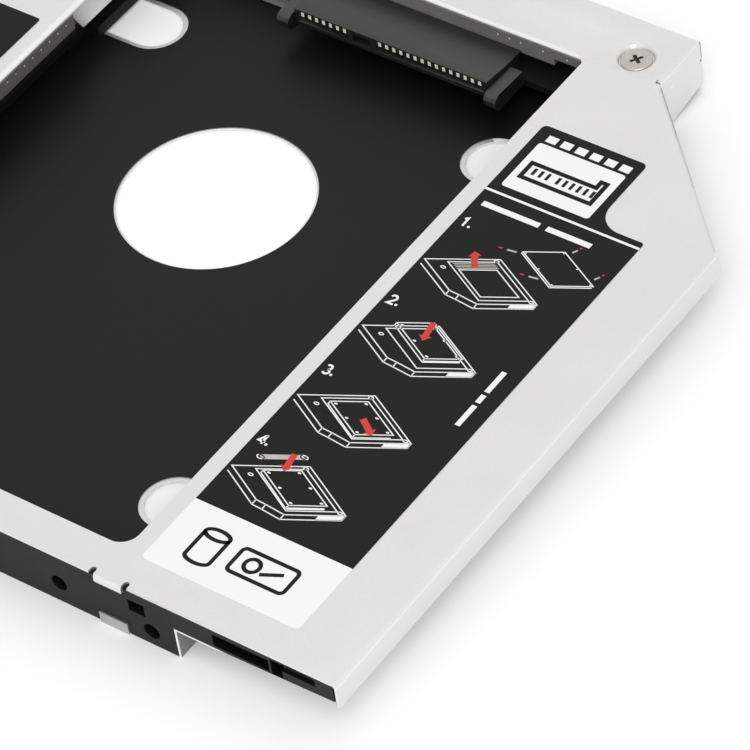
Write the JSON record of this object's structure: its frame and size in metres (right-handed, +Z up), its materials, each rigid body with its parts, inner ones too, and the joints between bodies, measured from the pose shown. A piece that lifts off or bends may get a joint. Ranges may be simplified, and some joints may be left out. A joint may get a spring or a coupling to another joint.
{
  "type": "optical bay drive caddy",
  "caption": "Folded steel tray with the stepped outline of a slim optical drive, which holds a 2.5 inch drive on a connector board inside a laptop's optical bay.",
  "frame": {"origin": "under the middle of the whole outline, on the plane of the base", "axes": "+X across the bay towards the thin wing, +Y from the front bar to the connectors, +Z up"},
  "size_m": [0.128, 0.1262, 0.0096],
  "materials": {
    "satin_steel": "satin nickel plated sheet",
    "black_film": "matt polycarbonate film",
    "black_plastic": "fine textured moulding",
    "grey_plastic": "dark grey moulding",
    "board_black": "black solder mask over glass epoxy",
    "connector_plastic": "glass filled moulding",
    "gold_plate": "gold flashed contacts",
    "capacitor_ceramic": "fired ceramic chip",
    "resistor_black": "chip resistor",
    "nickel": "bright nickel plated",
    "brass": "turned brass",
    "label_film": "semi gloss printed film"
  },
  "bodies": {
    "root": {"bottom_plate": "satin_steel", "top_cover": "satin_steel", "insulating_film": "black_film", "front_bar": "black_plastic", "left_rail": "grey_plastic", "right_rail": "grey_plastic", "rear_frame": "grey_plastic", "connector_board": "board_black", "drive_connector_housing": "connector_plastic", "drive_connector_contacts": "gold_plate", "bay_connector_housing": "connector_plastic", "bay_connector_contacts": "gold_plate", "board_capacitors": "capacitor_ceramic", "board_resistors": "resistor_black", "board_screws": "nickel", "bracket_inserts": "brass", "cover_screws": "nickel", "base_screws": "nickel", "label_right": "label_film", "label_left": "label_film"}
  },
  "joints": []
}
